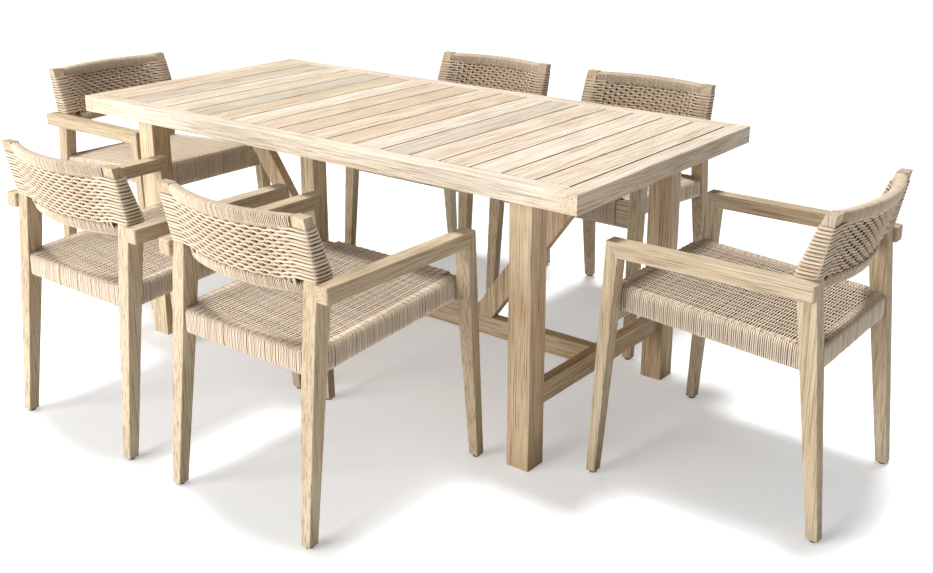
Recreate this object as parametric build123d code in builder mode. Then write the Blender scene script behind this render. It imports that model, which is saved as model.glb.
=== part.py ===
"""Patio dining set: a slatted rectangular table and six woven armchairs.

Millimetres. The origin is on the floor under the middle of the table, X runs along the
table and +Z is up. Each chair is drawn once in its own frame, where Y = 0 is the front of
its arms and +Y is the way that it faces, and is then placed at its seat round the table.
"""
from math import hypot, radians, tan
from build123d import *
import os

os.makedirs("parts", exist_ok=True)

# ---- table, driving sizes ----
TABLE_LENGTH = 1800.0
TABLE_WIDTH = 870.0
TABLE_HEIGHT = 760.0
FRAME_DEPTH = 48.0  # thickness of the tabletop's frame
FRAME_WIDTH = 50.0  # width of the side rails and the end boards
SLAT_COUNT = 18
SLAT_GAP = 3.5
SLAT_THICKNESS = 22.0
BATTEN_WIDTH = 66.0
LEG_SIZE = 66.0
LEG_END_INSET = 165.0  # table end to the leg's outer face
LEG_SIDE_INSET = 67.0  # table side to the leg's outer face
STRETCHER_HEIGHT = 56.0
END_STRETCHER_THICKNESS = 30.0
LONG_STRETCHER_WIDTH = 32.0
STRETCHER_FLOOR_GAP = 148.0
BRACE_DEPTH = 60.0  # measured across the brace, in its plane
BRACE_FOOT = 358.0  # table centre to the foot of the brace's lower edge
BRACE_TOP = 733.0  # table centre to the top of the brace's lower edge
TABLE_EASE = 2.5  # rounding of the long edges of the top and legs
RAIL_EASE = 2.0
LEG_BOLT_DIAMETER = 8.0
LEG_BOLT_LENGTH = 70.0
LEG_BOLT_HEAD = 13.0
LEG_BOLT_HEAD_THICKNESS = 5.5
BOLT_CLEARANCE = 0.25

# ---- chair, driving sizes ----
CHAIR_WIDTH = 552.0  # across the outer faces of the arms
ARM_TOP = 612.0
ARM_WIDTH = 40.0
ARM_DEPTH = 38.0
ARM_LENGTH = 503.0
FRONT_LEG_TOP = 32.0  # front to back, at the arm
FRONT_LEG_FOOT = 25.0
FOOT_WIDTH = 28.0  # side to side, front and rear feet alike
FRONT_RAKE = 34.0  # the foot stands this far in front of the arm
GLIDE_HEIGHT = 7.0
GLIDE_RADIUS = 9.5
BACK_TOP = 760.0
REAR_FOOT_DEPTH = 28.0
REAR_FOOT_BACK = 545.0  # arm front to the back of the rear foot
REAR_ARM_DEPTH = 49.0  # front to back of the rear leg at the arm's top
REAR_ARM_GAP = 11.0  # the arm's end stands this far behind the rear leg
REAR_TOP_DEPTH = 26.0
REAR_TOP_BACK = 523.0  # arm front to the back of the rear leg's top
SEAT_FRONT = 490.0  # top of the woven seat at its front edge
SEAT_SLOPE = 4.0  # degrees down towards the back
SEAT_CORD = 6.0  # thickness of the woven layer
SEAT_EDGE = 60.0  # height of the woven edge
FRONT_RAIL_HEIGHT = 78.0
FRONT_RAIL_THICKNESS = 23.0
FRONT_RAIL_SETBACK = 4.0  # rail's front face ahead of the arm front
SIDE_RAIL_THICKNESS = 22.0
SIDE_RAIL_INSET = 14.0  # rear leg's outer face to the side rail's
REAR_RAIL_THICKNESS = 22.0
WOVEN_FRONT_INSET = 46.0  # bare end of the front rail, leg to weave
BACK_BOW = 40.0  # the back rails bend this far behind a straight line
BACK_RAIL_THICKNESS = 20.0
TOP_RAIL_HEIGHT = 28.0
LOW_RAIL_HEIGHT = 26.0
LOW_RAIL_BOTTOM = 570.0
BACK_CORD = 3.2  # thickness of the cord over the back frame
CHAIR_EASE = 2.0  # rounding of the chair's long edges

# ---- where the chairs stand: x, y of the arm's front, and the turn in degrees ----
CHAIR_GAP = 88.0  # between the two chairs on one side
SIDE_TUCK = 35.0  # a side chair's arms reach this far under the top's edge
END_TUCK = 20.0  # the same at the ends
SEAT_SPACING = (CHAIR_WIDTH + CHAIR_GAP) / 2
SIDE_SEAT = TABLE_WIDTH / 2 - SIDE_TUCK
END_SEAT = TABLE_LENGTH / 2 - END_TUCK
CHAIRS = {
    "front_left_chair": (-SEAT_SPACING, -SIDE_SEAT, 0.0),
    "front_right_chair": (SEAT_SPACING, -SIDE_SEAT, 0.0),
    "right_end_chair": (END_SEAT, 0.0, 90.0),
    "left_end_chair": (-END_SEAT, 0.0, -90.0),
    "back_left_chair": (-SEAT_SPACING, SIDE_SEAT, 180.0),
    "back_right_chair": (SEAT_SPACING, SIDE_SEAT, 180.0),
}

# ---- sizes that follow ----
TOP_UNDERSIDE = TABLE_HEIGHT - FRAME_DEPTH
FIELD_LENGTH = TABLE_LENGTH - 2 * FRAME_WIDTH
FIELD_WIDTH = TABLE_WIDTH - 2 * FRAME_WIDTH
SLAT_PITCH = (FIELD_LENGTH - SLAT_GAP) / SLAT_COUNT
BATTEN_DEPTH = FRAME_DEPTH - SLAT_THICKNESS
LEG_X = TABLE_LENGTH / 2 - LEG_END_INSET - LEG_SIZE / 2
LEG_Y = TABLE_WIDTH / 2 - LEG_SIDE_INSET - LEG_SIZE / 2
STRETCHER_TOP = STRETCHER_FLOOR_GAP + STRETCHER_HEIGHT
ARM_UNDERSIDE = ARM_TOP - ARM_DEPTH
HALF_OUT = CHAIR_WIDTH / 2
HALF_IN = HALF_OUT - ARM_WIDTH  # inner face of the arms, outer face of the rear legs
HALF_REAR = HALF_IN - ARM_WIDTH  # inner face of the rear legs
REAR_ARM_BACK = ARM_LENGTH - REAR_ARM_GAP


def write(name, pieces):
    """Writes one node: a single solid, or several separate ones side by side."""
    shape = pieces[0] if len(pieces) == 1 else Compound(children=pieces)
    shape.label = name
    export_step(shape, f"parts/{name}.step")


def bar(name, length, width, height, ease, place=(0, 0, 0)):
    """A straight bar whose bottom is centred on a place, with its long edges eased."""
    with BuildPart() as piece:
        with Locations(place):
            Box(length, width, height, align=(Align.CENTER, Align.CENTER, Align.MIN))
        axis = max(((length, Axis.X), (width, Axis.Y), (height, Axis.Z)), key=lambda s: s[0])[1]
        fillet(piece.edges().filter_by(axis), ease)
    piece.part.label = name
    return piece.part


def side_profile(name, points, inner, outer, ease):
    """A piece cut to a side view, points given as (y, z), between two distances from the middle."""
    with BuildPart() as piece:
        with BuildSketch(Plane.YZ.offset(inner)):
            with BuildLine():
                Polyline(*points, close=True)
            make_face()
        extrude(amount=outer - inner)
        if ease > 0:
            fillet(piece.edges().filter_by(lambda edge: edge.length > 90), ease)
    piece.part.label = name
    return piece.part


def both_sides(piece):
    """A piece and its mirror image across the chair's middle."""
    return [piece, mirror(piece, about=Plane.YZ)]


def seat_height(y, below=0.0):
    """Height of the seat's slope at a distance in front of the arms, or that much below it."""
    from_front = FRONT_RAIL_SETBACK - y
    return SEAT_FRONT - below - from_front * tan_degrees(SEAT_SLOPE)


def tan_degrees(angle):
    """Rise of a slope over a run of one."""
    return tan(radians(angle))


def along(start, end, z):
    """Y at a height on the straight line between two (y, z) points."""
    share = (z - start[1]) / (end[1] - start[1])
    return start[0] + share * (end[0] - start[0])


# ================= table =================
def make_end_board(side):
    """The board across one end of the top, as wide as the whole table."""
    x = side * (TABLE_LENGTH - FRAME_WIDTH) / 2
    return bar("end_board", FRAME_WIDTH, TABLE_WIDTH, FRAME_DEPTH, TABLE_EASE, (x, 0, TOP_UNDERSIDE))


def make_side_rail(side):
    """The long rail fitted between the two end boards."""
    y = side * (TABLE_WIDTH - FRAME_WIDTH) / 2
    return bar("side_rail", FIELD_LENGTH, FRAME_WIDTH, FRAME_DEPTH, TABLE_EASE, (0, y, TOP_UNDERSIDE))


def make_slats():
    """Slats across the table, flush with the frame, a gap apart and a gap from the boards."""
    start = -(SLAT_COUNT - 1) / 2 * SLAT_PITCH
    width = SLAT_PITCH - SLAT_GAP
    z = TABLE_HEIGHT - SLAT_THICKNESS
    return [bar(f"slat_{i}", width, FIELD_WIDTH, SLAT_THICKNESS, 1.2, (start + i * SLAT_PITCH, 0, z))
            for i in range(SLAT_COUNT)]


def make_batten(y):
    """A batten under the slats from end board to end board, bored over each leg bolt."""
    with BuildPart() as batten:
        with Locations((0, y, TOP_UNDERSIDE)):
            Box(FIELD_LENGTH, BATTEN_WIDTH, BATTEN_DEPTH,
                align=(Align.CENTER, Align.CENTER, Align.MIN))
        if y != 0:
            with Locations((LEG_X, y, TOP_UNDERSIDE + BATTEN_DEPTH), (-LEG_X, y, TOP_UNDERSIDE + BATTEN_DEPTH)):
                CounterBoreHole(LEG_BOLT_DIAMETER / 2 + BOLT_CLEARANCE,
                                LEG_BOLT_HEAD / 2 + BOLT_CLEARANCE,
                                LEG_BOLT_HEAD_THICKNESS + BOLT_CLEARANCE)
    return batten.part


def bolt_length_in_leg():
    """How far a leg bolt reaches below the top of the leg."""
    return LEG_BOLT_LENGTH - (BATTEN_DEPTH - LEG_BOLT_HEAD_THICKNESS - BOLT_CLEARANCE)


def make_table_leg(x, y):
    """A square leg, bored from the top for its bolt."""
    with BuildPart() as leg:
        with Locations((x, y, 0)):
            Box(LEG_SIZE, LEG_SIZE, TOP_UNDERSIDE, align=(Align.CENTER, Align.CENTER, Align.MIN))
        fillet(leg.edges().filter_by(Axis.Z), TABLE_EASE)
        with Locations((x, y, TOP_UNDERSIDE)):
            Hole(LEG_BOLT_DIAMETER / 2 + BOLT_CLEARANCE, bolt_length_in_leg() + 2)
    return leg.part


def make_leg_bolt(x, y):
    """The bolt that holds the top down on a leg, its flat head sunk in the batten."""
    head_seat = TABLE_HEIGHT - SLAT_THICKNESS - LEG_BOLT_HEAD_THICKNESS - BOLT_CLEARANCE
    with BuildPart() as bolt:
        with BuildSketch(Plane.XY.offset(head_seat)):
            with Locations((x, y)):
                Circle(LEG_BOLT_HEAD / 2)
        extrude(amount=LEG_BOLT_HEAD_THICKNESS)
        with BuildSketch(Plane.XY.offset(head_seat)):
            with Locations((x, y)):
                Circle(LEG_BOLT_DIAMETER / 2)
        extrude(amount=-LEG_BOLT_LENGTH)
    return bolt.part


def make_end_stretcher(side):
    """The rail between the two legs at one end, in the middle of their width."""
    length = 2 * LEG_Y - LEG_SIZE
    return bar("end_stretcher", END_STRETCHER_THICKNESS, length, STRETCHER_HEIGHT, RAIL_EASE,
               (side * LEG_X, 0, STRETCHER_FLOOR_GAP))


def make_long_stretcher():
    """The rail along the table's middle, from one end stretcher to the other."""
    length = 2 * LEG_X - END_STRETCHER_THICKNESS
    return bar("long_stretcher", length, LONG_STRETCHER_WIDTH, STRETCHER_HEIGHT, RAIL_EASE,
               (0, 0, STRETCHER_FLOOR_GAP))


def make_brace():
    """The sloping strut from the long stretcher up and out to the middle batten."""
    rise = TOP_UNDERSIDE - STRETCHER_TOP
    run = BRACE_TOP - BRACE_FOOT
    level_depth = BRACE_DEPTH * hypot(rise, run) / rise
    with BuildPart() as brace:
        with BuildSketch(Plane.XZ.offset(-LONG_STRETCHER_WIDTH / 2)):
            with BuildLine():
                Polyline(
                    (BRACE_FOOT, STRETCHER_TOP),
                    (BRACE_TOP, TOP_UNDERSIDE),
                    (BRACE_TOP - level_depth, TOP_UNDERSIDE),
                    (BRACE_FOOT - level_depth, STRETCHER_TOP),
                    close=True,
                )
            make_face()
        extrude(amount=LONG_STRETCHER_WIDTH)
        fillet(brace.edges().filter_by(lambda edge: edge.length > 2 * level_depth), RAIL_EASE)
    return brace.part


leg_places = [(sx * LEG_X, sy * LEG_Y) for sx in (-1, 1) for sy in (-1, 1)]
write("top_end_board_left", [make_end_board(-1)])
write("top_end_board_right", [make_end_board(1)])
write("top_side_rail_front", [make_side_rail(-1)])
write("top_side_rail_back", [make_side_rail(1)])
write("top_slats", make_slats())
write("top_battens", [make_batten(y) for y in (-LEG_Y, 0, LEG_Y)])
write("table_legs", [make_table_leg(x, y) for x, y in leg_places])
write("leg_bolts", [make_leg_bolt(x, y) for x, y in leg_places])
write("end_stretchers", [make_end_stretcher(side) for side in (-1, 1)])
write("long_stretcher", [make_long_stretcher()])
brace_right = make_brace()
write("diagonal_braces", [brace_right, mirror(brace_right, about=Plane.YZ)])

# ================= chair, in its own frame =================
# side views as (y, z) points; y is negative behind the arm's front
FRONT_FOOT = (FRONT_RAKE, GLIDE_HEIGHT)
FRONT_FOOT_BACK = (FRONT_RAKE - FRONT_LEG_FOOT, GLIDE_HEIGHT)
FRONT_CORNER = (0.0, ARM_TOP)
FRONT_INNER = (-FRONT_LEG_TOP, ARM_UNDERSIDE)
REAR_FOOT = (-REAR_FOOT_BACK, GLIDE_HEIGHT)
REAR_FOOT_FRONT = (-REAR_FOOT_BACK + REAR_FOOT_DEPTH, GLIDE_HEIGHT)
REAR_BEND = (-REAR_ARM_BACK, ARM_TOP)
REAR_BEND_FRONT = (-REAR_ARM_BACK + REAR_ARM_DEPTH, ARM_TOP + 10)
REAR_TOP = (-REAR_TOP_BACK, BACK_TOP)
REAR_TOP_FRONT = (-REAR_TOP_BACK + REAR_TOP_DEPTH, BACK_TOP)


def foot_taper(inner, side_of_foot):
    """A wedge that narrows a leg from its inner side, from just under the seat to the foot."""
    knee = SEAT_FRONT - FRONT_RAIL_HEIGHT - 20
    with BuildPart() as wedge:
        with BuildSketch(Plane.XZ.offset(REAR_FOOT_BACK + 60)):
            with BuildLine():
                Polyline((inner - 30, knee), (inner, knee), (side_of_foot, GLIDE_HEIGHT),
                         (side_of_foot, GLIDE_HEIGHT - 5), (inner - 30, GLIDE_HEIGHT - 5), close=True)
            make_face()
        extrude(amount=-(REAR_FOOT_BACK + 60 + 100))
    return wedge.part


def make_front_leg():
    """The right front leg: raked, tapered to the foot and mitred to the arm."""
    outline = [FRONT_FOOT, FRONT_CORNER, FRONT_INNER, FRONT_FOOT_BACK]
    with BuildPart() as leg:
        add(side_profile("front_leg", outline, HALF_IN, HALF_OUT, 0))
        add(foot_taper(HALF_IN, HALF_OUT - FOOT_WIDTH), mode=Mode.SUBTRACT)
        fillet(leg.edges().filter_by(lambda edge: edge.length > 90), CHAIR_EASE)
    return leg.part


def make_arm():
    """The right arm, mitred to the front leg, with its back end rounded in plan."""
    outline = [FRONT_CORNER, (-ARM_LENGTH, ARM_TOP), (-ARM_LENGTH, ARM_UNDERSIDE), FRONT_INNER]
    with BuildPart() as arm:
        add(side_profile("arm", outline, HALF_IN, HALF_OUT, 0))
        fillet(arm.edges().filter_by(Axis.Z).group_by(Axis.Y)[0], 5)
        fillet(arm.edges().filter_by(Axis.Y), CHAIR_EASE)
    return arm.part


def make_rear_leg():
    """The right rear leg and back post in one piece, widest at the arm."""
    outline = [REAR_FOOT, REAR_BEND, REAR_TOP, REAR_TOP_FRONT, REAR_BEND_FRONT, REAR_FOOT_FRONT]
    with BuildPart() as leg:
        add(side_profile("rear_leg", outline, HALF_REAR, HALF_IN, 0))
        add(foot_taper(HALF_REAR, HALF_IN - FOOT_WIDTH), mode=Mode.SUBTRACT)
        fillet(leg.edges().filter_by(lambda edge: edge.length > 90), CHAIR_EASE)
    return leg.part


def rear_leg_front(z):
    """Y of the rear leg's front edge at a height below the arm."""
    return along(REAR_FOOT_FRONT, REAR_BEND_FRONT, z)


def rear_leg_back(z):
    """Y of the rear leg's back edge at a height below the arm."""
    return along(REAR_FOOT, REAR_BEND, z)


FRONT_RAIL_FACE = FRONT_RAIL_SETBACK
FRONT_RAIL_BACK = FRONT_RAIL_SETBACK - FRONT_RAIL_THICKNESS
RAIL_DROP = SEAT_CORD  # the rails stand this far under the woven top
RAIL_HEIGHT = SEAT_EDGE - 2 * SEAT_CORD + 6
SIDE_RAIL_OUT = HALF_IN - SIDE_RAIL_INSET
REAR_RAIL_MID = (rear_leg_front(430) + rear_leg_back(430)) / 2
REAR_RAIL_FACE = REAR_RAIL_MID + REAR_RAIL_THICKNESS / 2
REAR_RAIL_BACK = REAR_RAIL_MID - REAR_RAIL_THICKNESS / 2


def make_front_rail():
    """The front seat rail between the front legs, bare at both ends."""
    top = seat_height(FRONT_RAIL_BACK, RAIL_DROP)
    return bar("front_rail", 2 * HALF_IN, FRONT_RAIL_THICKNESS, FRONT_RAIL_HEIGHT, 1.5,
               (0, (FRONT_RAIL_FACE + FRONT_RAIL_BACK) / 2, top - FRONT_RAIL_HEIGHT))


def make_side_rail_chair():
    """The right side seat rail, from the front rail back to the rear leg, sloping down."""
    low = seat_height(-460, RAIL_DROP + RAIL_HEIGHT)
    back_low = rear_leg_front(low)
    back_high = rear_leg_front(low + RAIL_HEIGHT)
    outline = [
        (FRONT_RAIL_BACK, seat_height(FRONT_RAIL_BACK, RAIL_DROP)),
        (back_high, seat_height(back_high, RAIL_DROP)),
        (back_low, seat_height(back_low, RAIL_DROP + RAIL_HEIGHT)),
        (FRONT_RAIL_BACK, seat_height(FRONT_RAIL_BACK, RAIL_DROP + RAIL_HEIGHT)),
    ]
    return side_profile("side_rail", outline, SIDE_RAIL_OUT - SIDE_RAIL_THICKNESS, SIDE_RAIL_OUT, 0)


def make_rear_rail():
    """The rear seat rail between the rear legs."""
    top = seat_height(REAR_RAIL_FACE, RAIL_DROP) - 2
    return bar("rear_rail", 2 * HALF_REAR, REAR_RAIL_THICKNESS, RAIL_HEIGHT, 1.5,
               (0, REAR_RAIL_MID, top - RAIL_HEIGHT))


def make_seat_weave(hard_pieces):
    """The woven cord over the four seat rails: a thin top and a skirt, open underneath."""
    back = REAR_RAIL_BACK - SEAT_CORD
    front = FRONT_RAIL_FACE + SEAT_CORD
    side = SIDE_RAIL_OUT + SEAT_CORD

    def slab(name, y_front, y_back, half_width, top, bottom):
        outline = [(y_front, seat_height(y_front, top)), (y_back, seat_height(y_back, top)),
                   (y_back, seat_height(y_back, bottom)), (y_front, seat_height(y_front, bottom))]
        return side_profile(name, outline, -half_width, half_width, 0)

    core_half = SIDE_RAIL_OUT - SIDE_RAIL_THICKNESS - SEAT_CORD
    with BuildPart() as weave:
        add(slab("body", FRONT_RAIL_BACK, back, side, 0, SEAT_EDGE))
        add(slab("nose", front, FRONT_RAIL_BACK, HALF_IN - WOVEN_FRONT_INSET, 0,
                 FRONT_RAIL_HEIGHT + 2 * SEAT_CORD))
        add(slab("hollow", FRONT_RAIL_BACK - SEAT_CORD, REAR_RAIL_FACE + SEAT_CORD, core_half,
                 SEAT_CORD, 4 * SEAT_EDGE), mode=Mode.SUBTRACT)
        for piece in hard_pieces:
            add(piece, mode=Mode.SUBTRACT)
    return weave.part


def arc_band(half_width, front, back, bow):
    """A plan outline: a band between two arcs that bow backwards, with straight ends."""
    with BuildLine() as outline:
        ThreePointArc((-half_width, front), (0, front - bow), (half_width, front))
        Line((half_width, front), (half_width, back))
        ThreePointArc((half_width, back), (0, back - bow), (-half_width, back))
        Line((-half_width, back), (-half_width, front))
    return outline.line


def post_middle(z):
    """Y of the middle of the back post at a height above the arm."""
    front = along(REAR_BEND_FRONT, REAR_TOP_FRONT, z)
    back = along(REAR_BEND, REAR_TOP, z)
    return (front + back) / 2


def make_back_rail(name, bottom, height):
    """A bowed back rail between the two back posts."""
    middle = post_middle(bottom + height / 2)
    with BuildPart() as rail:
        with BuildSketch(Plane.XY.offset(bottom)):
            with BuildLine():
                add(arc_band(HALF_REAR, middle + BACK_RAIL_THICKNESS / 2,
                             middle - BACK_RAIL_THICKNESS / 2, BACK_BOW))
            make_face()
        extrude(amount=height)
        fillet(rail.edges().filter_by(GeomType.CIRCLE), 4)
    rail.part.label = name
    return rail.part


def make_back_weave(hard_pieces):
    """The woven back: a bowed panel round both rails, and a wrap round each back post."""
    low = LOW_RAIL_BOTTOM - BACK_CORD
    high = BACK_TOP
    thick = BACK_RAIL_THICKNESS / 2 + BACK_CORD
    low_middle = post_middle(LOW_RAIL_BOTTOM + LOW_RAIL_HEIGHT / 2)
    wrap_low = ARM_TOP + 1
    wrap_high = BACK_TOP - TOP_RAIL_HEIGHT + 3
    wrap = [
        (along(REAR_BEND, REAR_TOP, wrap_low) - BACK_CORD, wrap_low),
        (along(REAR_BEND, REAR_TOP, wrap_high) - BACK_CORD, wrap_high),
        (along(REAR_BEND_FRONT, REAR_TOP_FRONT, wrap_high) + BACK_CORD, wrap_high),
        (along(REAR_BEND_FRONT, REAR_TOP_FRONT, wrap_low) + BACK_CORD, wrap_low),
    ]
    with BuildPart() as weave:
        with BuildSketch(Plane.XY.offset(low)):
            with BuildLine():
                add(arc_band(HALF_REAR, low_middle + thick, low_middle - thick, BACK_BOW))
            make_face()
        with BuildSketch(Plane.XY.offset(high)):
            with BuildLine():
                add(arc_band(HALF_REAR, post_middle(high) + thick, post_middle(high) - thick, BACK_BOW))
            make_face()
        loft(ruled=True)
        for inner, outer in ((HALF_REAR - BACK_CORD, HALF_IN + BACK_CORD),
                             (-HALF_IN - BACK_CORD, -HALF_REAR + BACK_CORD)):
            add(side_profile("wrap", wrap, inner, outer, 0))
        for piece in hard_pieces:
            add(piece, mode=Mode.SUBTRACT)
    return weave.part


def make_glide(x, y):
    """A round plastic glide under one foot."""
    with BuildPart() as glide:
        with BuildSketch(Plane.XY):
            with Locations((x, y)):
                Circle(GLIDE_RADIUS)
        extrude(amount=GLIDE_HEIGHT)
        fillet(glide.faces().sort_by(Axis.Z)[0].edges(), 1.5)
    return glide.part


def make_chair():
    """All the pieces of one chair, grouped by node name."""
    front_legs = both_sides(make_front_leg())
    arms = both_sides(make_arm())
    rear_legs = both_sides(make_rear_leg())
    seat_rails = [make_front_rail(), *both_sides(make_side_rail_chair()), make_rear_rail()]
    top_rail = make_back_rail("top_rail", BACK_TOP - TOP_RAIL_HEIGHT - BACK_CORD, TOP_RAIL_HEIGHT)
    low_rail = make_back_rail("low_rail", LOW_RAIL_BOTTOM, LOW_RAIL_HEIGHT)
    seat_weave = make_seat_weave(seat_rails + rear_legs + front_legs)
    back_weave = make_back_weave([top_rail, low_rail, *rear_legs])
    glide_x = (HALF_OUT - FOOT_WIDTH / 2, HALF_IN - FOOT_WIDTH / 2)
    glide_y = (FRONT_RAKE - FRONT_LEG_FOOT / 2, -REAR_FOOT_BACK + REAR_FOOT_DEPTH / 2)
    glides = [make_glide(side * x, y) for x, y in zip(glide_x, glide_y) for side in (-1, 1)]
    return {
        "front_legs": front_legs,
        "arms": arms,
        "rear_legs": rear_legs,
        "seat_rails": seat_rails,
        "back_rails": [top_rail, low_rail],
        "seat_weave": [seat_weave],
        "back_weave": [back_weave],
        "glides": glides,
    }


chair_pieces = make_chair()
for chair_name, (x, y, turn) in CHAIRS.items():
    seat_place = Location((x, y, 0), (0, 0, turn))
    for node_name, pieces in chair_pieces.items():
        write(f"{chair_name}_{node_name}", [piece.moved(seat_place) for piece in pieces])
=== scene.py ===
"""Patio dining set in Blender: bleached timber, woven paper-cord seats and backs.

Everything is in metres in the shared frame: the origin is on the floor under the middle of
the table, X runs along the table and Z is up. A chair's woven pieces are worked out once in
the chair's own frame, where y = 0 is the front of its arms and +y is the way that it faces.
"""
import logging
import math
from dataclasses import dataclass, field
from enum import Enum
from typing import Callable

import bpy
import numpy as np
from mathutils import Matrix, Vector


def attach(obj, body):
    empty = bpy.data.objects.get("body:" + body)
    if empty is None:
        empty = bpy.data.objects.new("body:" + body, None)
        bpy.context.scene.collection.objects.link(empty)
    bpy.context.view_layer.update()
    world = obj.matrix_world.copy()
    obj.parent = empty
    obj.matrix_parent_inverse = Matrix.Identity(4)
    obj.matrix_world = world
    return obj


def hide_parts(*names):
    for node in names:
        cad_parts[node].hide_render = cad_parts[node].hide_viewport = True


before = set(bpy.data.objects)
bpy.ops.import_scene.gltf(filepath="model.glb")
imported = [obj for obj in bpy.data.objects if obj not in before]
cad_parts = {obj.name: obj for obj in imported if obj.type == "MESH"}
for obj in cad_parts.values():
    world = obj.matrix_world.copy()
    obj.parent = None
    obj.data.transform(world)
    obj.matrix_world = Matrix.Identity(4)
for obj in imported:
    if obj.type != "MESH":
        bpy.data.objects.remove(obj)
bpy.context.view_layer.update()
LOG = logging.getLogger("patio_set")
Array = np.ndarray
Colour = tuple[float, float, float]
HOOP_POINTS = 14  # points round each cord that is wound round a rail
# Painted shade in the gaps between slats: how far it reaches, and its brown.
GAP_SHADE_REACH = 0.0026  # how far a dark seam reaches to each side of its middle, metres
GAP_SHADE_BROWN = (0.26, 0.17, 0.11)


class Grain(Enum):
    """The way that a board's grain runs."""

    ALONG_X = 0
    ALONG_Y = 1
    ALONG_Z = 2


# ------------------------------------------------------------------ finishes
def linear(red: int, green: int, blue: int) -> Colour:
    """Turns an 8-bit display colour into the linear one that shaders take.

    Args:
        red, green, blue: the display colour, 0 to 255.

    Returns:
        The linear colour, 0 to 1.
    """
    part = np.array([red, green, blue]) / 255.0
    out = np.where(part <= 0.04045, part / 12.92, ((part + 0.055) / 1.055) ** 2.4)
    return (float(out[0]), float(out[1]), float(out[2]))


class Nodes:
    """A small helper that adds shader nodes to one material and joins them."""

    def __init__(self, name: str) -> None:
        """Makes an empty node material of that name."""
        self.material = bpy.data.materials.new(name)
        self.material.use_nodes = True
        self.tree = self.material.node_tree
        self.tree.nodes.clear()
        self.output = self.tree.nodes.new("ShaderNodeOutputMaterial")
        self.shader = self.tree.nodes.new("ShaderNodeBsdfPrincipled")
        self.join(self.shader.outputs[0], self.output.inputs[0])

    def join(self, source: bpy.types.NodeSocket, target: bpy.types.NodeSocket) -> None:
        """Links one socket to another."""
        self.tree.links.new(source, target)

    def add(self, kind: str, **values: object) -> bpy.types.Node:
        """Adds a node and sets it.

        Args:
            kind: the node's type name without its ShaderNode start.
            values: node properties, or input values given as the socket's name.

        Returns:
            The new node.
        """
        node = self.tree.nodes.new("ShaderNode" + kind)
        for key, value in values.items():
            if hasattr(node, key):
                setattr(node, key, value)
            else:
                node.inputs[key].default_value = value
        return node

    def maths(self, operation: str, first: object, second: object = 0.0) -> bpy.types.NodeSocket:
        """Adds a Math node over two sockets or numbers and returns its result."""
        node = self.tree.nodes.new("ShaderNodeMath")
        node.operation = operation
        for socket, value in zip(node.inputs, (first, second)):
            if isinstance(value, bpy.types.NodeSocket):
                self.join(value, socket)
            else:
                socket.default_value = value
        return node.outputs[0]

    def blend(self, amount: object, first: object, second: object,
              mode: str = "MIX") -> bpy.types.NodeSocket:
        """Mixes two colours.

        Args:
            amount: how much of the second colour, a socket or a number.
            first, second: colour sockets or colours.
            mode: the blend type.

        Returns:
            The mixed colour's socket.
        """
        node = self.tree.nodes.new("ShaderNodeMix")
        node.data_type = "RGBA"
        node.blend_type = mode
        sockets = (node.inputs[0], node.inputs[6], node.inputs[7])
        for socket, value in zip(sockets, (amount, first, second)):
            if isinstance(value, bpy.types.NodeSocket):
                self.join(value, socket)
            elif isinstance(value, tuple):
                socket.default_value = (*value, 1.0)
            else:
                socket.default_value = value
        return node.outputs[2]

    def ramp(self, source: bpy.types.NodeSocket, stops: list[tuple[float, Colour]]) -> bpy.types.NodeSocket:
        """Runs a value through a colour ramp with those stops and returns the colour."""
        node = self.tree.nodes.new("ShaderNodeValToRGB")
        elements = node.color_ramp.elements
        while len(elements) < len(stops):
            elements.new(0.5)
        for element, (place, colour) in zip(elements, stops):
            element.position = place
            element.color = (*colour, 1.0)
        self.join(source, node.inputs[0])
        return node.outputs[0]


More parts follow.
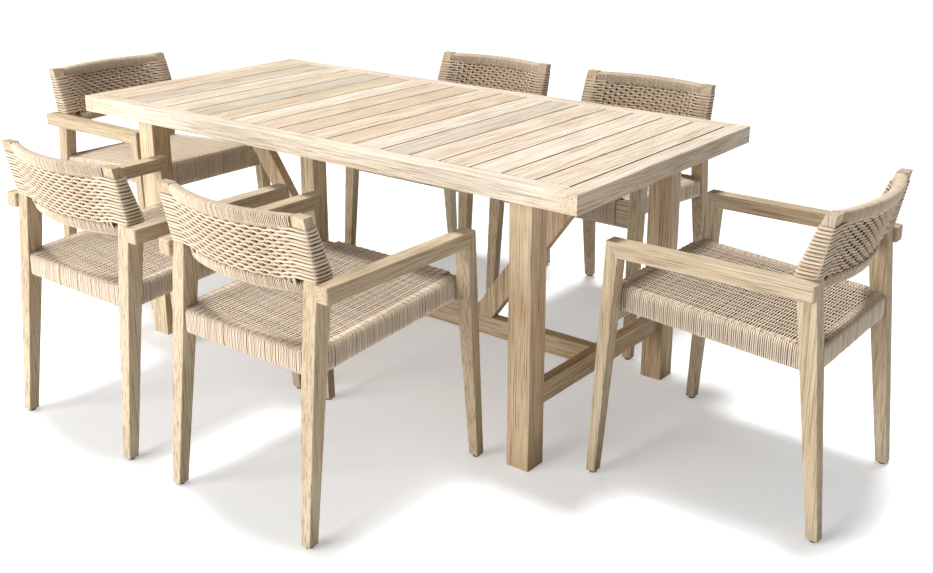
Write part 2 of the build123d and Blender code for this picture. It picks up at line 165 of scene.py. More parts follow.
@dataclass(frozen=True)
class Timber:
    """A bleached hardwood with streaky grain, paler and darker from board to board."""

    name: str
    pale: Colour
    warm: Colour
    grey: Colour
    streak: Colour
    board: float = 0.0  # board pitch, or 0 where each piece is one board
    board_axis: int = 0
    streak_amount: float = 0.5
    roughness: float = 0.62

    def material(self, grain: Grain) -> bpy.types.Material:
        """Builds the finish with its grain along one axis.

        The colour is a slow blend of three tones, moved on by a random step from board to
        board, then darkened by fine streaks: noise drawn out many times along the grain.
        Where a piece is cut into boards, a brown line of painted shade runs along each gap.

        Args:
            grain: the way that the grain runs.

        Returns:
            The material.
        """
        n = Nodes(f"{self.name}_{grain.name.lower()}")
        place = n.add("TexCoord").outputs["Object"]
        axes = n.add("SeparateXYZ")
        n.join(place, axes.inputs[0])
        stretch = [1.0, 1.0, 1.0]
        stretch[grain.value] = 0.018
        along = n.add("Mapping")
        along.inputs["Scale"].default_value = stretch
        n.join(place, along.inputs["Vector"])
        if self.board > 0:
            from_end = n.maths("ADD", axes.outputs[self.board_axis], self.board * 9)
            boards = n.maths("DIVIDE", from_end, self.board)
            step = n.maths("FLOOR", boards)
            chance = n.add("TexWhiteNoise", noise_dimensions="1D")
            n.join(step, chance.inputs["W"])
            shift = n.add("VectorMath", operation="SCALE")
            n.join(chance.outputs["Color"], shift.inputs[0])
            shift.inputs["Scale"].default_value = 3.0
            moved = n.add("VectorMath", operation="ADD")
            n.join(along.outputs[0], moved.inputs[0])
            n.join(shift.outputs[0], moved.inputs[1])
            flow, tone = moved.outputs[0], chance.outputs["Value"]
        else:
            patch = n.add("TexNoise", Scale=1.7, Detail=0.0)
            n.join(place, patch.inputs["Vector"])
            flow, tone = along.outputs[0], patch.outputs[0]
        broad = n.add("TexNoise", Scale=34.0, Detail=3.0, Roughness=0.55, Distortion=0.4)
        fine = n.add("TexNoise", Scale=340.0, Detail=6.0, Roughness=0.7)
        pores = n.add("TexNoise", Scale=1100.0, Detail=2.0, Roughness=0.6)
        for texture in (broad, fine, pores):
            n.join(flow, texture.inputs["Vector"])
        mixed = n.maths("ADD", n.maths("MULTIPLY", tone, 0.62),
                        n.maths("MULTIPLY", broad.outputs[0], 0.38))
        base = n.ramp(mixed, [(0.22, self.grey), (0.42, self.pale), (0.58, self.warm), (0.78, self.pale)])
        lines = n.add("MapRange")
        lines.inputs["From Min"].default_value = 0.47
        lines.inputs["From Max"].default_value = 0.64
        n.join(fine.outputs[0], lines.inputs["Value"])
        dark = n.maths("MULTIPLY", lines.outputs[0], self.streak_amount)
        colour = n.blend(dark, base, self.streak, "MULTIPLY")
        specks = n.add("MapRange")
        specks.inputs["From Min"].default_value = 0.6
        specks.inputs["From Max"].default_value = 0.72
        n.join(pores.outputs[0], specks.inputs["Value"])
        colour = n.blend(n.maths("MULTIPLY", specks.outputs[0], 0.35), colour, self.streak, "MULTIPLY")
        # Painted shade: a brown line along each gap between boards, where shade falls between the slats.
        if self.board > 0:
            share = n.maths("FRACT", boards)
            to_edge = n.maths("MINIMUM", share, n.maths("SUBTRACT", 1.0, share))
            colour = n.blend(n.maths("LESS_THAN", to_edge, GAP_SHADE_REACH / self.board), colour, GAP_SHADE_BROWN)
        n.join(colour, n.shader.inputs["Base Color"])
        n.join(n.maths("ADD", n.maths("MULTIPLY", fine.outputs[0], 0.16), self.roughness - 0.08),
               n.shader.inputs["Roughness"])
        n.shader.inputs["Specular IOR Level"].default_value = 0.3
        bump = n.add("Bump", Strength=0.25, Distance=0.0006)
        n.join(fine.outputs[0], bump.inputs["Height"])
        n.join(bump.outputs[0], n.shader.inputs["Normal"])
        return n.material


@dataclass(frozen=True)
class Cord:
    """Twisted paper cord: pale, matt, each strand a little lighter or darker, with its twist, and painted
    shade in the twist's grooves and along its flanks.
    """

    name: str
    pale: Colour
    tan: Colour
    # the dark tone of the painted shade in the twist's grooves and along the flanks
    crease_shade: Colour
    ply: float = 260.0  # twists of the cord per metre of its length

    def material(self) -> bpy.types.Material:
        """Builds the finish from the strand map: U runs along a strand and V tells strands apart.

        The fraction of V goes once round a strand, so the flanks, where strands lie side by
        side, are darkened by a power of its cosine: painted shade between the strands.

        Returns:
            The material.
        """
        n = Nodes(self.name)
        strand = n.add("UVMap", uv_map="strand").outputs[0]
        parts = n.add("SeparateXYZ")
        n.join(strand, parts.inputs[0])
        chance = n.add("TexWhiteNoise", noise_dimensions="1D")
        n.join(n.maths("FLOOR", parts.outputs[1]), chance.inputs["W"])
        place = n.add("TexCoord").outputs["Object"]
        cloud = n.add("TexNoise", Scale=38.0, Detail=3.0)
        n.join(place, cloud.inputs["Vector"])
        tone = n.maths("ADD", n.maths("MULTIPLY", chance.outputs["Value"], 0.55),
                       n.maths("MULTIPLY", cloud.outputs[0], 0.45))
        base = n.ramp(tone, [(0.25, self.pale), (0.8, self.tan)])
        around = n.maths("FRACT", parts.outputs[1])
        twist = n.maths("SINE", n.maths("ADD", n.maths("MULTIPLY", parts.outputs[0], self.ply * 6.283),
                                        n.maths("MULTIPLY", around, 12.566)))
        ridge = n.maths("ADD", n.maths("MULTIPLY", twist, 0.5), 0.5)
        # Painted shade: the twist's grooves are darkened towards the shade tone.
        groove_shade = n.maths("MULTIPLY", n.maths("SUBTRACT", 1.0, ridge), 0.28)
        colour = n.blend(groove_shade, base, self.crease_shade, "MULTIPLY")
        # Painted shade where strands lie side by side.
        beside = n.maths("ABSOLUTE", n.maths("COSINE", n.maths("MULTIPLY", around, 6.283)))
        flank_shade = n.maths("POWER", beside, 4.0)
        colour = n.blend(n.maths("MULTIPLY", flank_shade, 0.75), colour, self.crease_shade, "MULTIPLY")
        n.join(colour, n.shader.inputs["Base Color"])
        n.shader.inputs["Roughness"].default_value = 0.85
        n.shader.inputs["Specular IOR Level"].default_value = 0.2
        bump = n.add("Bump", Strength=0.5, Distance=0.0008)
        n.join(ridge, bump.inputs["Height"])
        n.join(bump.outputs[0], n.shader.inputs["Normal"])
        return n.material


@dataclass(frozen=True)
class Plain:
    """A fine-grained moulded plastic, or brushed metal: one tone broken by soft speckle."""

    name: str
    colour: Colour
    roughness: float
    metallic: float = 0.0

    def material(self) -> bpy.types.Material:
        """Builds the finish, with speckle in its colour and roughness, and returns it."""
        n = Nodes(self.name)
        n.shader.inputs["Metallic"].default_value = self.metallic
        speckle = n.add("TexNoise", Scale=900.0, Detail=2.0)
        n.join(n.add("TexCoord").outputs["Object"], speckle.inputs["Vector"])
        darker = (self.colour[0] * 0.7, self.colour[1] * 0.7, self.colour[2] * 0.7)
        n.join(n.ramp(speckle.outputs[0], [(0.35, darker), (0.65, self.colour)]),
               n.shader.inputs["Base Color"])
        n.join(n.maths("ADD", n.maths("MULTIPLY", speckle.outputs[0], 0.15), self.roughness - 0.07),
               n.shader.inputs["Roughness"])
        return n.material


# ------------------------------------------------------------------ cord work
@dataclass
class StrandBundle:
    """Cord strands gathered into one mesh: tubes with a few sides, closed at both ends."""

    sides: int = 6
    points: list[Array] = field(default_factory=list)
    faces: list[Array] = field(default_factory=list)
    maps: list[Array] = field(default_factory=list)
    count: int = 0
    strands: int = 0

    def add(self, paths: Array, across: float | Array, thick: float, normals: Array,
            loop: bool = False) -> None:
        """Adds strands of equal point count as tubes of oval section.

        A ring of points stands round each path point: the path's side direction times half
        the width, times the cosine, plus its outward normal times half the thickness, times
        the sine. Side direction is the cross product of the path's run and its normal.

        Args:
            paths: strands by points by 3, metres.
            across: width of a strand, the same all along it or given at each path point.
            thick: thickness of a strand, along the normals.
            normals: outward direction at each path point, same shape as paths.
            loop: whether each strand's end meets its start.
        """
        strands, steps, _ = paths.shape
        if loop:
            run = np.roll(paths, -1, axis=1) - np.roll(paths, 1, axis=1)
        else:
            run = np.gradient(paths, axis=1)
        run /= np.linalg.norm(run, axis=2, keepdims=True) + 1e-12
        side = np.cross(run, normals)
        side /= np.linalg.norm(side, axis=2, keepdims=True) + 1e-12
        out = np.cross(side, run)
        turn = np.arange(self.sides) * 2 * np.pi / self.sides
        wide = np.broadcast_to(across, (strands, steps))[:, :, None] / 2 * np.cos(turn)
        ring = (side[:, :, None, :] * wide[..., None]
                + out[:, :, None, :] * (np.sin(turn) * thick / 2)[None, None, :, None])
        grid = paths[:, :, None, :] + ring
        index = self.count + np.arange(strands * steps * self.sides).reshape(strands, steps, self.sides)
        ahead = np.roll(index, -1, axis=1) if loop else index[:, 1:]
        here = index if loop else index[:, :-1]
        quads = np.stack([here, np.roll(here, -1, axis=2), np.roll(ahead, -1, axis=2), ahead], axis=-1)
        length = np.concatenate([np.zeros((strands, 1)), np.cumsum(
            np.linalg.norm(np.diff(paths, axis=1), axis=2), axis=1)], axis=1)
        share = np.arange(self.sides)[None, None, :] / self.sides
        number = self.strands + np.arange(strands)[:, None, None] + share
        u = np.broadcast_to(length[:, :, None], (strands, steps, self.sides))
        v = np.broadcast_to(number, (strands, steps, self.sides))
        self.points.append(grid.reshape(-1, 3))
        self.faces.append(quads.reshape(-1, 4))
        self.maps.append(np.stack([u.reshape(-1), v.reshape(-1)], axis=1))
        if not loop:
            for end, order in ((index[:, 0], 1), (index[:, -1], -1)):
                if self.sides == 6:
                    cap = end[:, ::order]
                    self.faces.append(cap[:, [0, 1, 2, 3]])
                    self.faces.append(cap[:, [0, 3, 4, 5]])
                elif self.sides == 4:
                    self.faces.append(end[:, ::order])
        self.count += strands * steps * self.sides
        self.strands += strands

    def mesh(self, name: str, place: Callable[[Array], Array]) -> bpy.types.Mesh:
        """Writes the strands into a mesh.

        Args:
            name: the mesh's name.
            place: moves points from the chair's own frame into the shared one.

        Returns:
            The mesh, with the strand map as its UV layer.
        """
        points = place(np.concatenate(self.points))
        faces = np.concatenate(self.faces)
        maps = np.concatenate(self.maps)
        mesh = bpy.data.meshes.new(name)
        mesh.vertices.add(len(points))
        mesh.vertices.foreach_set("co", points.astype(np.float32).ravel())
        mesh.loops.add(faces.size)
        mesh.loops.foreach_set("vertex_index", faces.astype(np.int32).ravel())
        mesh.polygons.add(len(faces))
        mesh.polygons.foreach_set("loop_start", np.arange(0, faces.size, 4, dtype=np.int32))
        mesh.polygons.foreach_set("use_smooth", np.ones(len(faces), dtype=bool))
        layer = mesh.uv_layers.new(name="strand")
        layer.data.foreach_set("uv", maps[faces.ravel()].astype(np.float32).ravel())
        mesh.update(calc_edges=True)
        mesh.validate()
        return mesh


def wobble(shape: tuple[int, ...], size: float, seed: int) -> Array:
    """Small fixed random offsets, so that hand-laid strands are never quite even."""
    return np.random.default_rng(seed).normal(0.0, size, shape)


@dataclass
class WovenPiece:
    """One woven piece: the cords that show, and the cords packed inside it, coloured darker as painted shade.
    """

    outer: StrandBundle = field(default_factory=StrandBundle)
    inner: StrandBundle = field(default_factory=lambda: StrandBundle(sides=4))


def upward(paths: Array, axis: int) -> Array:
    """Outward directions for flat-lying strands: unit vectors along one axis at every path point."""
    normals = np.zeros_like(paths)
    normals[..., axis] = 1.0
    return normals


def hoop_turns() -> Array:
    """Angles of the points of a hoop, evenly spaced and half a step off the axes."""
    return np.arange(HOOP_POINTS) * 2 * np.pi / HOOP_POINTS + np.pi / HOOP_POINTS


def squared(turn: Array, power: float) -> tuple[Array, Array]:
    """A circle pushed out towards a square: cosine and sine to a power, with their signs kept."""
    c, s = np.cos(turn), np.sin(turn)
    return np.sign(c) * np.abs(c) ** power, np.sign(s) * np.abs(s) ** power


@dataclass(frozen=True)
class SeatWeave:
    """The seat: cords over the four rails, with cross cords laid a little apart between them."""

    slope: float = math.tan(math.radians(4.0))
    front: float = 0.010
    back: float = -0.505
    half: float = 0.228
    nose_half: float = 0.190
    top: float = 0.490
    edge: float = 0.060
    front_edge: float = 0.082
    weft_pitch: float = 0.0069
    weft_width: float = 0.0038
    weft_end: float = 0.007  # cross cords stop this far inside the rim, under the hoops
    warp_pitch: float = 0.0207
    warp_width: float = 0.0040
    cord: float = 0.0042
    wrap_pitch: float = 0.0049
    bare_back: float = -0.022  # the side cords start behind the bare end of the front rail

    def height(self, y: Array) -> Array:
        """Height of the seat's slope: the top falls evenly with distance from the front."""
        return self.top - (0.004 - y) * self.slope

    def crown(self, x: Array, y: Array) -> Array:
        """Rounds the seat's rim: the height drops by a quarter circle within 7 mm of an edge."""
        reach = 0.007
        limit = np.where(y > self.bare_back, self.nose_half, self.half)
        inside = np.minimum(np.minimum(limit - np.abs(x), self.front - y), y - self.back)
        share = np.clip(1 - inside / reach, 0, 1)
        return reach * (1 - np.sqrt(np.clip(1 - share ** 2, 0, 1)))

    def build(self) -> WovenPiece:
        """Works out every strand of the seat in the chair's frame.

        Returns:
            The strands, and a packing sheet under the open weave, coloured as painted shade seen through the
            slits.
        """
        piece = WovenPiece()
        self.add_cross_cords(piece.outer)
        self.add_long_cords(piece.outer)
        self.wrap_sides(piece.outer)
        self.wrap_ends(piece.outer)
        # A sheet of cords under the weave: its dark colour is painted shade in the slits.
        rows = np.arange(self.back + 0.012, self.front - 0.012, 0.0060)
        x = np.linspace(-self.nose_half, self.nose_half, 3)
        x_all = np.broadcast_to(x, (len(rows), 3))
        y_all = np.broadcast_to(rows[:, None], x_all.shape)
        paths = np.stack([x_all, y_all, self.height(y_all) - self.cord * 2.6], axis=-1)
        piece.inner.add(paths, 0.0064, 0.0030, upward(paths, 2))
        return piece

    def add_cross_cords(self, bundle: StrandBundle) -> None:
        """Cross cords along x at an even pitch, a gap apart, so that short slits show between them.

        Each dips under every long cord: its height falls as a cosine of x with the period
        of the long cords.
        """
        for low, high, half in ((self.back + 0.004, self.bare_back, self.half),
                                (self.bare_back, self.front - 0.003, self.nose_half)):
            rows = np.arange(low + self.weft_pitch / 2, high, self.weft_pitch)
            steps = int(half * 2 / self.warp_pitch * 4) + 1
            x = np.linspace(-half + self.weft_end, half - self.weft_end, steps)
            x_all = np.broadcast_to(x, (len(rows), steps))
            number = np.round((rows - self.back) / self.weft_pitch)[:, None]
            wave = -np.cos(2 * np.pi * x_all / self.warp_pitch)
            sway = np.sin(np.pi * x_all / self.warp_pitch * 0.37 + number * 1.7) * 0.0003
            y_all = rows[:, None] + sway + wobble(x_all.shape, 0.00008, 5) + wobble((len(rows), 1), 0.0002, 3)
            z_all = self.height(y_all) - self.cord * 0.62 - self.crown(x_all, y_all) + wave * 0.0006
            paths = np.stack([x_all, y_all, z_all], axis=-1)
            bundle.add(paths, self.weft_width, self.cord * 0.55, upward(paths, 2))

    def add_long_cords(self, bundle: StrandBundle) -> None:
        """Long cords along y, lying in the dips of the cross cords and rocking slightly over each."""
        count = int(self.nose_half * 2 / self.warp_pitch)
        number = np.arange(-(count // 2), count // 2 + 1)[:, None]
        columns = number * self.warp_pitch
        steps = int((self.front - self.back) / self.weft_pitch * 2)
        y = np.linspace(self.back + 0.004, self.front - 0.003, steps)
        y_all = np.broadcast_to(y, (len(columns), steps))
        x_all = columns + wobble(y_all.shape, 0.00008, 7)
        wave = np.cos(np.pi * ((y_all - self.back) / self.weft_pitch - 0.5 + number))
        z_all = self.height(y_all) - self.cord * 0.38 - self.crown(x_all, y_all) - wave * 0.0003
        paths = np.stack([x_all, y_all, z_all], axis=-1)
        bundle.add(paths, self.warp_width, self.cord * 0.5, upward(paths, 2))

    def wrap_sides(self, bundle: StrandBundle) -> None:
        """Cords wound round both side rails, side by side from front to back.

        Each is a squared hoop round the rail; its middle follows the seat's slope.
        """
        rows = np.arange(self.back + 0.006, self.bare_back, self.wrap_pitch)
        turn = hoop_turns()
        wide, tall = squared(turn, 0.38)
        for side in (-1, 1):
            y = rows[:, None] + wobble((len(rows), HOOP_POINTS), 0.00030, 11 + side)
            x = side * (self.half - 0.0155 + wide * 0.0150) + side * wobble((len(rows), 1), 0.0004, 17)
            x = x + np.zeros_like(y)
            z = self.height(y) - self.cord * 0.45 - self.edge / 2 + tall * (self.edge / 2 - 0.0018)
            normals = np.zeros((len(rows), HOOP_POINTS, 3))
            normals[..., 0] = side * np.cos(turn)
            normals[..., 2] = np.sin(turn)
            bundle.add(np.stack([x, y, z], axis=-1), self.wrap_pitch * 0.86, self.cord, normals, loop=True)

    def wrap_ends(self, bundle: StrandBundle) -> None:
        """Cords wound round the front and rear rails as squared hoops, from side to side."""
        columns = np.arange(-self.nose_half + 0.002, self.nose_half, self.wrap_pitch)
        turn = hoop_turns()
        deep, tall = squared(turn, 0.38)
        for middle, height in ((self.front - 0.0175, self.front_edge), (self.back + 0.0165, self.edge)):
            x = columns[:, None] + wobble((len(columns), HOOP_POINTS), 0.00030, 23)
            y = middle + deep * 0.0155 + wobble((len(columns), 1), 0.0004, 29) + np.zeros_like(x)
            z = self.height(y) - height / 2 - self.cord * 0.45 + tall * (height / 2 - 0.0018)
            normals = np.zeros((len(columns), HOOP_POINTS, 3))
            normals[..., 1] = np.cos(turn)
            normals[..., 2] = np.sin(turn)
            bundle.add(np.stack([x, y, z], axis=-1), self.wrap_pitch * 0.86, self.cord, normals, loop=True)


@dataclass(frozen=True)
class BackWeave:
    """The back: rows of cord woven round upright cords, from post to post, between two rails."""

    post_in: float = 0.196
    post_out: float = 0.236
    bow: float = 0.040
    rows: int = 14
    low: float = 0.6035
    high: float = 0.7270
    post_low: float = 0.6160
    post_high: float = 0.7300
    row_width: float = 0.0064
    post_width: float = 0.0078  # the rows spread flat round the posts
    spread: float = 0.100  # the two faces part over this distance before a post
    upright_pitch: float = 0.0167
    cord: float = 0.0040
    face_depth: float = 0.0056
    rail_split: float = 0.65  # the low rail is below this height and the top rail above it
    top: float = 0.760
    bottom: float = 0.5668

    def middle(self, z: Array) -> Array:
        """Distance back of the posts' centre line at a height, a straight line leaning backwards."""
        return -0.4670 - (z - 0.617) * 0.0430 / 0.143

    def half_post(self, z: Array) -> Array:
        """Half the posts' depth at a height: they taper evenly to their tops."""
        return 0.0260 - (z - 0.617) * 0.0130 / 0.143

    def bend(self, x: Array) -> Array:
        """How far the back bows behind the posts: a parabola, zero at both posts."""
        return self.bow * (1 - np.clip(np.abs(x) / self.post_in, 0, 1) ** 2)

    def near(self, x: Array) -> Array:
        """How near a post a point is: the square of its share of the spread, one at the post."""
        return np.clip((np.abs(x) - self.post_in + self.spread) / self.spread, 0, 1) ** 2

    def swell(self, x: Array, z: Array) -> Array:
        """Half the distance between the woven faces: even in the middle, and clear of the posts at them."""
        near = self.near(x)
        return self.face_depth * (1 - near) + (self.half_post(z) + self.cord / 2 + 0.0004) * near

    def build(self) -> WovenPiece:
        """Works out every strand of the back in the chair's frame.

        Returns:
            The strands, and the cords packed between the two woven faces, coloured as painted shade in the
            gaps.
        """
        piece = WovenPiece()
        self.add_rows(piece.outer)
        # The upright cords go with the packing, so their darker colour is painted shade in the gaps between
        # rows.
        for face in (-1, 1):
            self.add_uprights(piece.inner, face)
        self.wrap_rail(piece.outer, self.top - 0.0182, 0.0360, 37)
        self.wrap_rail(piece.outer, self.bottom + 0.0170, 0.0330, 41)
        # A sheet of cords midway between the two faces: painted shade behind the gaps.
        x = np.arange(-self.post_in + 0.004, self.post_in - 0.002, 0.0054)
        z = np.linspace(self.low - 0.008, self.high + 0.008, 3)
        z_all = np.broadcast_to(z, (len(x), 3))
        x_all = np.broadcast_to(x[:, None], z_all.shape)
        paths = np.stack([x_all, self.middle(z_all) - self.bend(x_all), z_all], axis=-1)
        piece.inner.add(paths, 0.0060, 0.0036, upward(paths, 1))
        return piece

    def add_rows(self, bundle: StrandBundle) -> None:
        """Rows of cord, each one closed loop: the front face, a post, the rear face, a post.

        A row's depth swings by a cosine of the distance across with a period of two
        uprights, and next rows are half a period apart. Towards a post the loop swells to
        clear it, and the row climbs a little, both by a smooth step.
        """
        half = 140
        x_front = np.linspace(-self.post_in + 0.001, self.post_in - 0.001, half)
        turns = np.linspace(np.pi / 2, -np.pi / 2, 9)[1:-1]
        wide, deep = squared(turns, 0.45)
        middle = (self.post_out + self.post_in) / 2
        end_x = middle + wide * (self.post_out - middle + 0.0022)
        x = np.concatenate([x_front, end_x, x_front[::-1], -end_x[::-1]])
        face = np.concatenate([np.ones(half), deep, -np.ones(half), deep[::-1]])
        out_x = np.concatenate([np.zeros(half), np.cos(turns), np.zeros(half), -np.cos(turns[::-1])])
        number = np.arange(self.rows)[:, None]
        near = self.near(x)
        climb = np.clip((np.abs(x) - 0.110) / 0.086, 0, 1)
        climb = climb * climb * (3 - 2 * climb)
        share = number / (self.rows - 1)
        z = ((self.low + share * (self.high - self.low)) * (1 - climb)
             + (self.post_low + share * (self.post_high - self.post_low)) * climb)
        phase = np.pi * (x / self.upright_pitch + number)
        z = z + (1 - 0.6 * near) * 0.0014 * np.sin(phase) + wobble(z.shape, 0.00012, 31)
        depth = face * self.swell(x, z) + (1 - near) * np.cos(phase) * 0.0018
        y = self.middle(z) - self.bend(x) + depth
        paths = np.stack([np.broadcast_to(x, z.shape), y, z], axis=-1)
        normals = np.zeros_like(paths)
        normals[..., 0] = out_x
        normals[..., 1] = np.where(np.abs(face) < 0.999, face, np.sign(face))
        normals /= np.linalg.norm(normals, axis=2, keepdims=True)
        width = np.broadcast_to(self.row_width * (1 - near) + self.post_width * near, z.shape)
        bundle.add(paths, width, self.cord, normals, loop=True)

    def add_uprights(self, bundle: StrandBundle, face: int) -> None:
        """Flat pairs of upright cords on one face of the weave, swaying between the rows."""
        count = int((self.post_in - 0.014) / self.upright_pitch)
        number = np.arange(-count, count + 1)[:, None]
        z = np.linspace(self.low - 0.010, self.high + 0.010, self.rows * 4)
        z_all = np.broadcast_to(z, (len(number), len(z)))
        x_all = number * self.upright_pitch + np.zeros_like(z_all)
        row = (z_all - self.low) / (self.high - self.low) * (self.rows - 1)
        wave = np.cos(np.pi * (number + row))
        depth = face * (self.swell(x_all, z_all) - 0.0016)
        y_all = self.middle(z_all) - self.bend(x_all) + depth - wave * 0.0008
        paths = np.stack([x_all, y_all, z_all], axis=-1)
        bundle.add(paths, 0.0160, 0.0024, upward(paths, 1) * face)

    def wrap_rail(self, bundle: StrandBundle, height: float, tall: float, seed: int) -> None:
        """Cords wound round one bowed rail as squared hoops, packed from post to post.

        Each cord's edge next to the open weave strays by a random few millimetres.

        Args:
            bundle: the strands so far.
            height: the wrap's middle.
            tall: its full height.
            seed: for its small unevenness.
        """
        pitch = 0.0043
        columns = np.arange(-self.post_in + 0.003, self.post_in - 0.002, pitch)
        turn = hoop_turns()
        deep, rise = squared(turn, 0.5)
        rng = np.random.default_rng(seed)
        x = columns[:, None] + wobble((len(columns), HOOP_POINTS), 0.00030, seed)
        inward = 1 if height < self.rail_split else -1  # towards the open weave
        drop = rng.uniform(0.0, 0.0024, (len(columns), 1)) * (rise[None, :] * inward > 0)
        z = height + rise * (tall / 2 - 0.0018) + drop * inward + np.zeros_like(x)
        slack = rng.normal(0, 0.0003, (len(columns), 1))
        y = self.middle(z) - self.bend(columns[:, None]) + deep * 0.0128 + slack
        normals = np.zeros((len(columns), HOOP_POINTS, 3))
        normals[..., 1] = np.cos(turn)
        normals[..., 2] = np.sin(turn)
        bundle.add(np.stack([x, y, z], axis=-1), pitch * 0.90, 0.0036, normals, loop=True)


# ------------------------------------------------------------------ sub-assemblies
@dataclass(frozen=True)
class Armchair:
    """One armchair: where it stands, and its woven pieces and finishes."""

    name: str
    x: float
    y: float
    turn: float  # degrees

    def place(self, points: Array) -> Array:
        """Turns points about z by the chair's turn, then moves them to where it stands."""
        a = math.radians(self.turn)
        turned = points.copy()
        turned[:, 0] = points[:, 0] * math.cos(a) - points[:, 1] * math.sin(a) + self.x
        turned[:, 1] = points[:, 0] * math.sin(a) + points[:, 1] * math.cos(a) + self.y
        return turned

    def add_weave(self, node: str, piece: str, weave: WovenPiece, cord: bpy.types.Material,
                  shaded: bpy.types.Material) -> None:
        """Puts strands in the place of one of the chair's plain nodes.

        Args:
            node: the CAD node's name without the chair's.
            piece: the new piece's name without the chair's.
            weave: the strands in the chair's frame.
            cord: the material of the cords that show.
            shaded: the material of the cords inside, a darker copy of the cord as painted shade.
        """
        # The packed cords inside take the darker copy of the cord: painted shade.
        for ending, bundle, material in (("cords", weave.outer, cord), ("painted_shade_cords", weave.inner, shaded)):
            name = f"{self.name}_{piece}_{ending}"
            item = bpy.data.objects.new(name, bundle.mesh(name, self.place))
            bpy.context.scene.collection.objects.link(item)
            item.data.materials.append(material)
            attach(item, self.name)
            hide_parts(f"{self.name}_{node}")
            LOG.info("%s: %d strands, %d faces", name, bundle.strands, len(item.data.polygons))

    def dress(self, timber: Timber, glide: bpy.types.Material) -> None:
        """Gives the chair's wooden pieces grain that runs along each of them."""
        sideways = self.turn % 180 != 0
        forward = Grain.ALONG_X if sideways else Grain.ALONG_Y
        across = Grain.ALONG_Y if sideways else Grain.ALONG_X
        for node, grain in (("front_legs", Grain.ALONG_Z), ("rear_legs", Grain.ALONG_Z), ("arms", forward),
                            ("seat_rails", across), ("back_rails", across)):
            coat(f"{self.name}_{node}", finish(timber, grain))
        coat(f"{self.name}_glides", glide)
        LOG.info("%s dressed", self.name)


FINISHES: dict[str, bpy.types.Material] = {}


def finish(timber: Timber, grain: Grain) -> bpy.types.Material:
    """The material for a timber and a grain, made once and then used again."""
    key = f"{timber.name}_{grain.name}"
    if key not in FINISHES:
        FINISHES[key] = timber.material(grain)
    return FINISHES[key]


def coat(node: str, material: bpy.types.Material) -> None:
    """Gives one CAD node a material in all of its slots."""
    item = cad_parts[node]
    if not item.material_slots:
        item.data.materials.append(material)
    for place in item.material_slots:
        place.material = material


@dataclass(frozen=True)
class Table:
    """The slatted table and its trestle frame."""

    slat_pitch: float = (1.7 - 0.0035) / 18

    def dress(self, top: Timber, under: Timber, bolt: bpy.types.Material) -> None:
        """Gives each wooden piece its grain, the slats a tone from board to board.

        Args:
            top: the timber of the tabletop.
            under: the timber of the frame beneath it.
            bolt: the bolts' metal.
        """
        for node in ("top_side_rail_front", "top_side_rail_back"):
            coat(node, finish(top, Grain.ALONG_X))
        for node in ("top_end_board_left", "top_end_board_right"):
            coat(node, finish(top, Grain.ALONG_Y))
        slats = Timber("slat_timber", top.pale, top.warm, top.grey, top.streak, self.slat_pitch, 0,
                       top.streak_amount, top.roughness)
        coat("top_slats", finish(slats, Grain.ALONG_Y))
        for node, grain in (("top_battens", Grain.ALONG_X), ("table_legs", Grain.ALONG_Z),
                            ("end_stretchers", Grain.ALONG_Y), ("long_stretcher", Grain.ALONG_X),
                            ("diagonal_braces", Grain.ALONG_Z)):
            coat(node, finish(under, grain))
        coat("leg_bolts", bolt)
        LOG.info("table dressed")


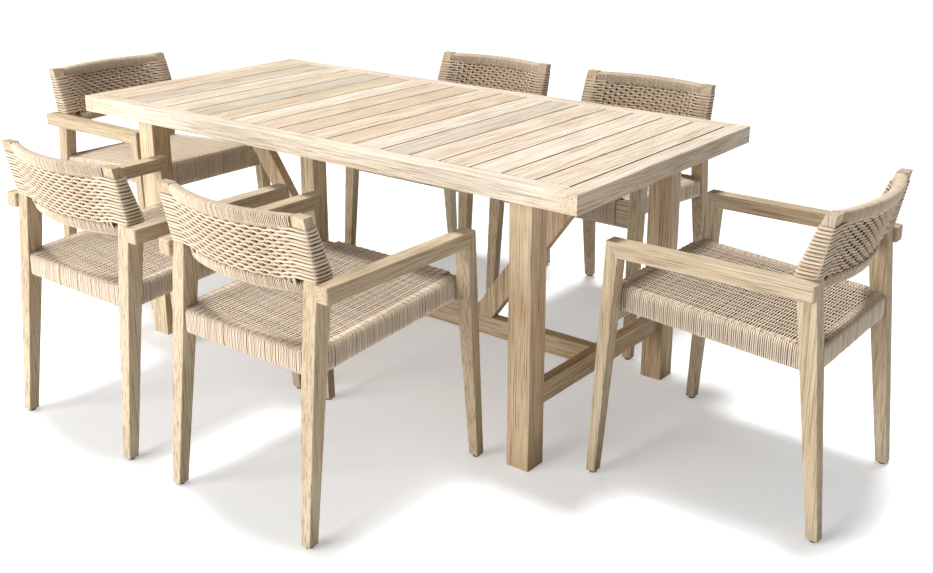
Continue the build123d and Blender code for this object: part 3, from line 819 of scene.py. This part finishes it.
@dataclass(frozen=True)
class Studio:
    """A pale floor, soft lights and the camera."""

    place: tuple[float, float, float] = (2.2006, -2.4886, 1.4624)
    azimuth: float = 38.025
    pitch: float = 16.411
    lens: float = 44.80
    shift_y: float = -0.0927
    air: float = 0.17
    floor_reach: float = 30.0
    floor_glow: float = 0.33

    def build(self) -> None:
        """Sets up the floor, the lights, the air and the camera."""
        scene = bpy.context.scene
        scene.view_settings.view_transform = "Standard"
        scene.view_settings.look = "None"
        self.fill_air()
        self.lay_floor()
        self.sun((-0.09, 0.09, 1.0), 3.4, 11.0)
        self.light("front_softbox", (-1.8, -5.2, 2.0), (0, 0, 0.5), 4.0, 370.0)
        self.set_camera()

    def fill_air(self) -> None:
        """Adds an even white light from all round."""
        world = bpy.data.worlds.new("studio_air")
        world.use_nodes = True
        background = world.node_tree.nodes["Background"]
        background.inputs[0].default_value = (1.0, 1.0, 1.0, 1.0)
        background.inputs[1].default_value = self.air
        bpy.context.scene.world = world

    def lay_floor(self) -> None:
        """Lays a wide white floor, which glows a little to the camera alone."""
        mesh = bpy.data.meshes.new("floor")
        size = self.floor_reach
        corners = [(-size, -size, 0), (size, -size, 0), (size, size, 0), (-size, size, 0)]
        mesh.from_pydata(corners, [], [(0, 1, 2, 3)])
        floor = bpy.data.objects.new("floor", mesh)
        bpy.context.scene.collection.objects.link(floor)
        n = Nodes("pale_floor")
        n.shader.inputs["Base Color"].default_value = (0.80, 0.80, 0.80, 1.0)
        n.shader.inputs["Roughness"].default_value = 0.9
        n.shader.inputs["Emission Color"].default_value = (1.0, 1.0, 1.0, 1.0)
        seen = n.add("LightPath").outputs["Is Camera Ray"]
        n.join(n.maths("MULTIPLY", seen, self.floor_glow), n.shader.inputs["Emission Strength"])
        n.shader.inputs["Specular IOR Level"].default_value = 0.0
        floor.data.materials.append(n.material)

    def set_camera(self) -> None:
        """Places the camera and turns it by its azimuth and its downward pitch."""
        camera = bpy.data.objects.new("camera", bpy.data.cameras.new("camera"))
        bpy.context.scene.collection.objects.link(camera)
        camera.location = self.place
        camera.data.lens = self.lens
        camera.data.sensor_width = 36.0
        camera.data.shift_y = self.shift_y
        a, e = math.radians(self.azimuth), math.radians(self.pitch)
        look = Vector((-math.sin(a) * math.cos(e), math.cos(a) * math.cos(e), -math.sin(e)))
        camera.rotation_mode = "QUATERNION"
        camera.rotation_quaternion = look.to_track_quat("-Z", "Y")
        bpy.context.scene.camera = camera

    def sun(self, toward: tuple[float, float, float], strength: float, spread: float) -> None:
        """Adds an even overhead light.

        Args:
            toward: direction from the set to the light.
            strength: its power.
            spread: its apparent size in degrees, which softens the shadows.
        """
        lamp = bpy.data.lights.new("overhead", "SUN")
        lamp.energy = strength
        lamp.angle = math.radians(spread)
        item = bpy.data.objects.new("overhead", lamp)
        bpy.context.scene.collection.objects.link(item)
        item.location = (0, 0, 5)
        item.rotation_mode = "QUATERNION"
        item.rotation_quaternion = (-Vector(toward)).to_track_quat("-Z", "Y")

    def light(self, name: str, place: tuple[float, float, float], aim: tuple[float, float, float],
              size: float, power: float) -> None:
        """Adds a square area light at a place, aimed at a point."""
        lamp = bpy.data.lights.new(name, "AREA")
        lamp.size = size
        lamp.energy = power
        item = bpy.data.objects.new(name, lamp)
        bpy.context.scene.collection.objects.link(item)
        item.location = place
        item.rotation_mode = "QUATERNION"
        item.rotation_quaternion = (Vector(aim) - Vector(place)).to_track_quat("-Z", "Y")


TOP_TIMBER = Timber("top_timber", linear(234, 221, 202), linear(215, 195, 168), linear(208, 196, 178),
                    linear(156, 126, 96), streak_amount=0.75)
FRAME_TIMBER = Timber("frame_timber", linear(222, 200, 168), linear(200, 172, 136), linear(186, 164, 136),
                      linear(126, 98, 70), streak_amount=0.78)
CHAIR_TIMBER = Timber("chair_timber", linear(204, 188, 161), linear(190, 169, 138), linear(174, 159, 137),
                      linear(134, 110, 82), streak_amount=0.7)
CORD = Cord("paper_cord", linear(240, 226, 207), linear(223, 205, 181), linear(150, 124, 97))
# Darker copies of the cord for the packed inner cords: painted shade in the gaps of the weave.
SEAT_SHADE = Cord("seat_painted_shade_cord", linear(96, 76, 56), linear(80, 62, 46), linear(72, 56, 42))
BACK_CORD = Cord("back_paper_cord", linear(230, 215, 194), linear(212, 193, 168), linear(150, 124, 97))
BACK_SHADE = Cord("back_painted_shade_cord", linear(208, 186, 158), linear(184, 161, 133), linear(164, 140, 114))

CHAIRS = (
    Armchair("front_left_chair", -0.32, -0.40, 0.0),
    Armchair("front_right_chair", 0.32, -0.40, 0.0),
    Armchair("right_end_chair", 0.88, 0.0, 90.0),
    Armchair("left_end_chair", -0.88, 0.0, -90.0),
    Armchair("back_left_chair", -0.32, 0.40, 180.0),
    Armchair("back_right_chair", 0.32, 0.40, 180.0),
)


def main() -> None:
    """Builds the studio, dresses the table and weaves and dresses the six chairs."""
    logging.basicConfig(level=logging.INFO, format="%(message)s")
    Studio().build()
    glide = Plain("glide_plastic", linear(62, 56, 50), 0.55).material()
    steel = Plain("bolt_steel", linear(190, 190, 188), 0.35, 1.0).material()
    cord = CORD.material()
    back_cord = BACK_CORD.material()
    seat_shade = SEAT_SHADE.material()
    back_shade = BACK_SHADE.material()
    Table().dress(TOP_TIMBER, FRAME_TIMBER, steel)
    seat = SeatWeave().build()
    back = BackWeave().build()
    for chair in CHAIRS:
        chair.add_weave("seat_weave", "seat", seat, cord, seat_shade)
        chair.add_weave("back_weave", "back", back, back_cord, back_shade)
        chair.dress(CHAIR_TIMBER, glide)


if __name__ == "__main__":
    main()
